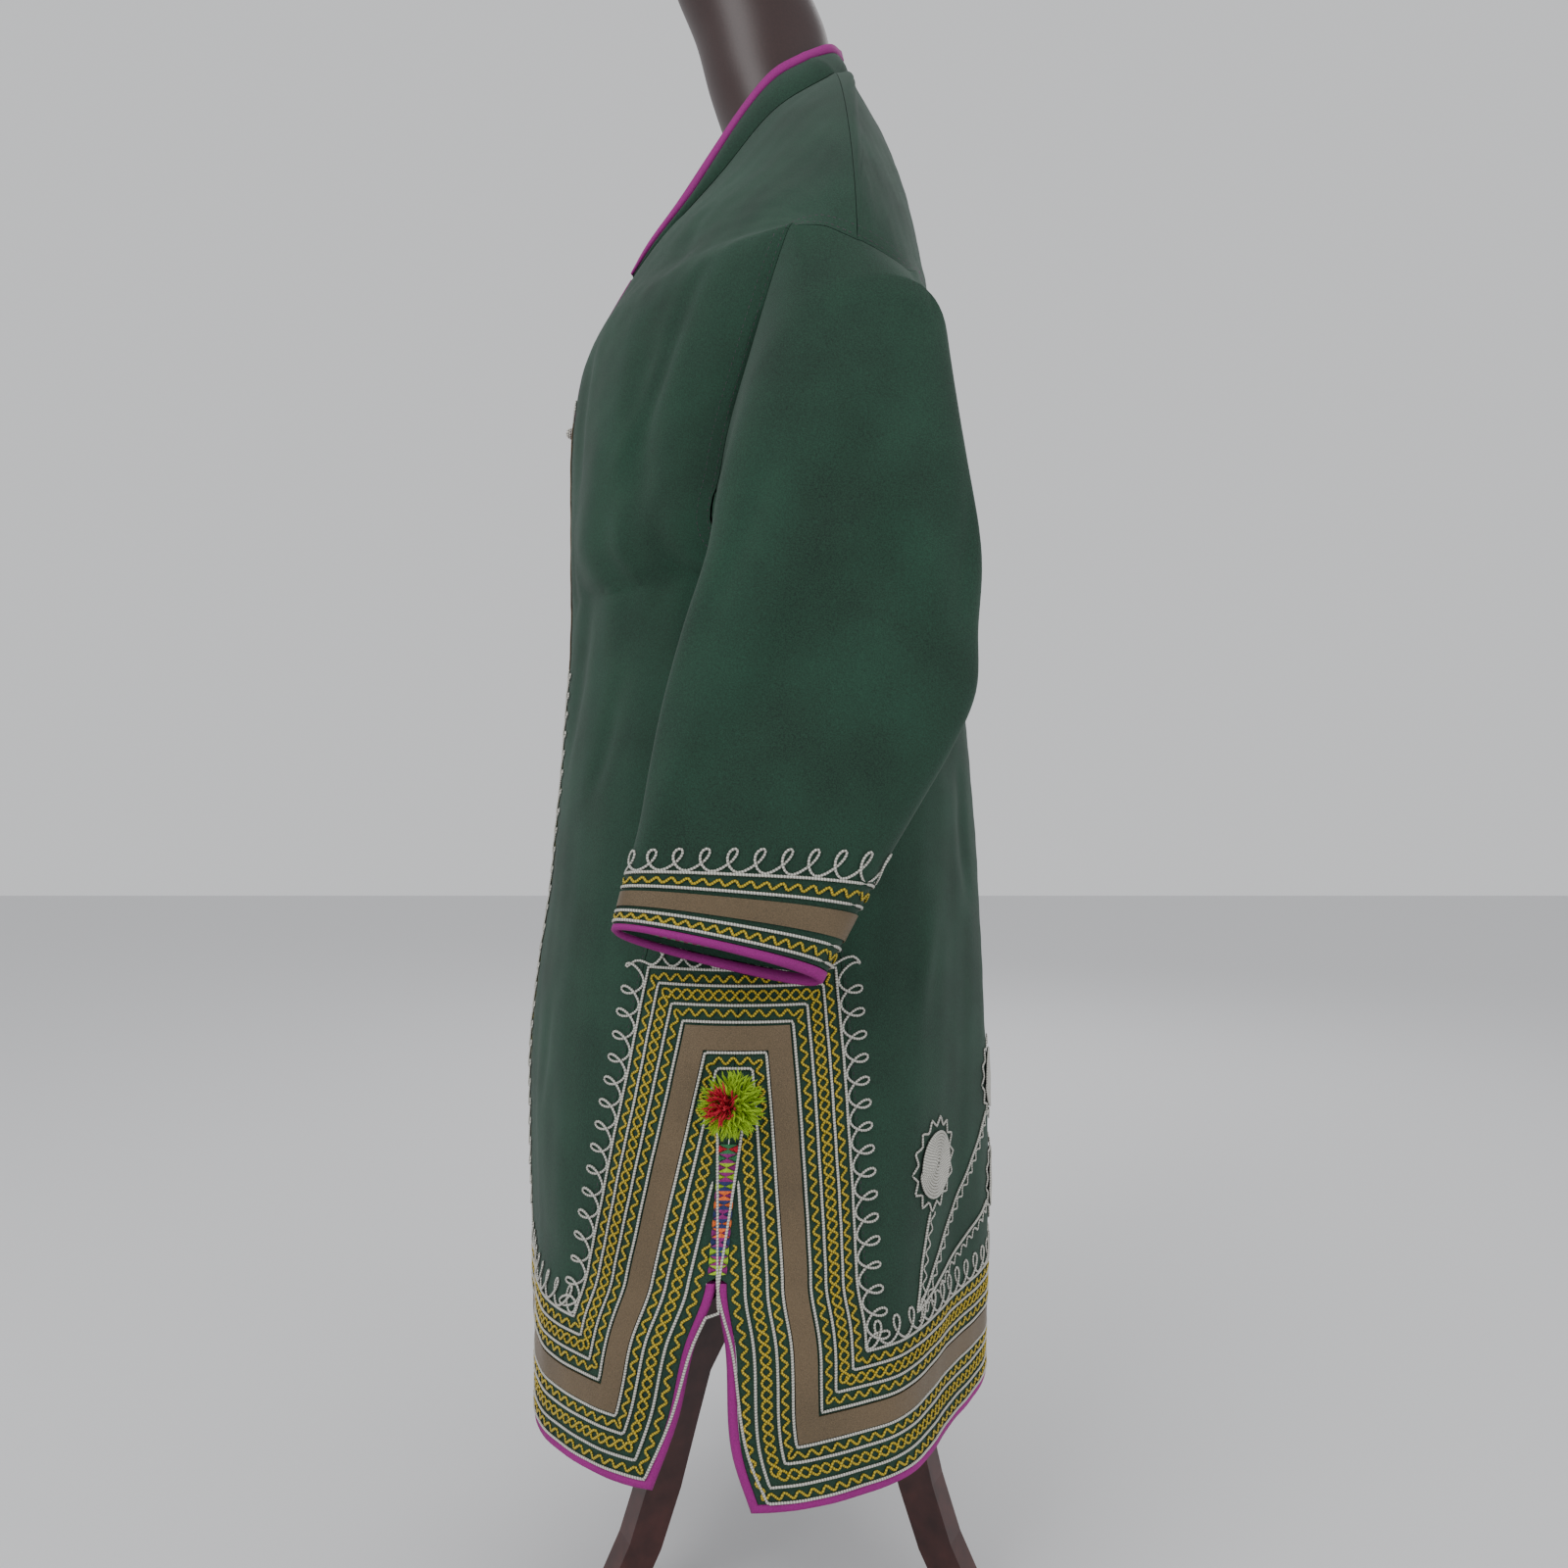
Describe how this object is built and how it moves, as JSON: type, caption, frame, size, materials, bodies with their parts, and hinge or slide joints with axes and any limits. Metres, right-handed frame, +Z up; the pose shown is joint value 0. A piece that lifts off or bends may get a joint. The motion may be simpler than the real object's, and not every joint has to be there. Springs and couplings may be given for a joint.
{
  "type": "chapan on a dress form",
  "caption": "Long green felted-wool robe with side slits, bound and braided edges, pompoms and hanging sleeves, shown on a limbless dress form with a tripod stand.",
  "frame": {"origin": "middle of the bounding box at floor level, where the stand's feet rest", "axes": "+Z up, -Y the garment's front, +X the garment's left"},
  "size_m": [0.5992, 0.3936, 1.4164],
  "materials": {
    "wool": "fuzzy felted wool, dark green",
    "binding": "magenta woven tape",
    "ribbon": "taupe metallic ribbon",
    "lining": "checked cotton",
    "strip": "wool embroidery",
    "pompom": "lime wool with a red core",
    "silver": "silver metallic cord",
    "form": "dark brown jersey over a moulded form",
    "wood": "dark stained, satin"
  },
  "bodies": {
    "root": {"back": "wool", "front_left": "wool", "front_right": "wool", "gore_front_left": "wool", "gore_front_right": "wool", "gore_back_left": "wool", "gore_back_right": "wool", "sleeve_left": "wool", "sleeve_right": "wool", "collar": "wool", "binding_left": "binding", "binding_right": "binding", "binding_back": "binding", "binding_collar": "binding", "binding_cuff_left": "binding", "binding_cuff_right": "binding", "ribbon_front_left": "ribbon", "ribbon_front_right": "ribbon", "ribbon_side_left": "ribbon", "ribbon_side_right": "ribbon", "ribbon_cuff_left": "ribbon", "ribbon_cuff_right": "ribbon", "cuff_lining_left": "lining", "cuff_lining_right": "lining", "strip_left": "strip", "strip_right": "strip", "pompom_left": "pompom", "pompom_right": "pompom", "flower_1_left": "silver", "flower_1_right": "silver", "flower_2_left": "silver", "flower_2_right": "silver", "flower_3_left": "silver", "flower_3_right": "silver", "button": "silver", "dress_form": "form", "neck_cap": "wood", "stand_column": "wood", "leg_front": "wood", "leg_back": "wood", "leg_side": "wood"}
  },
  "joints": []
}
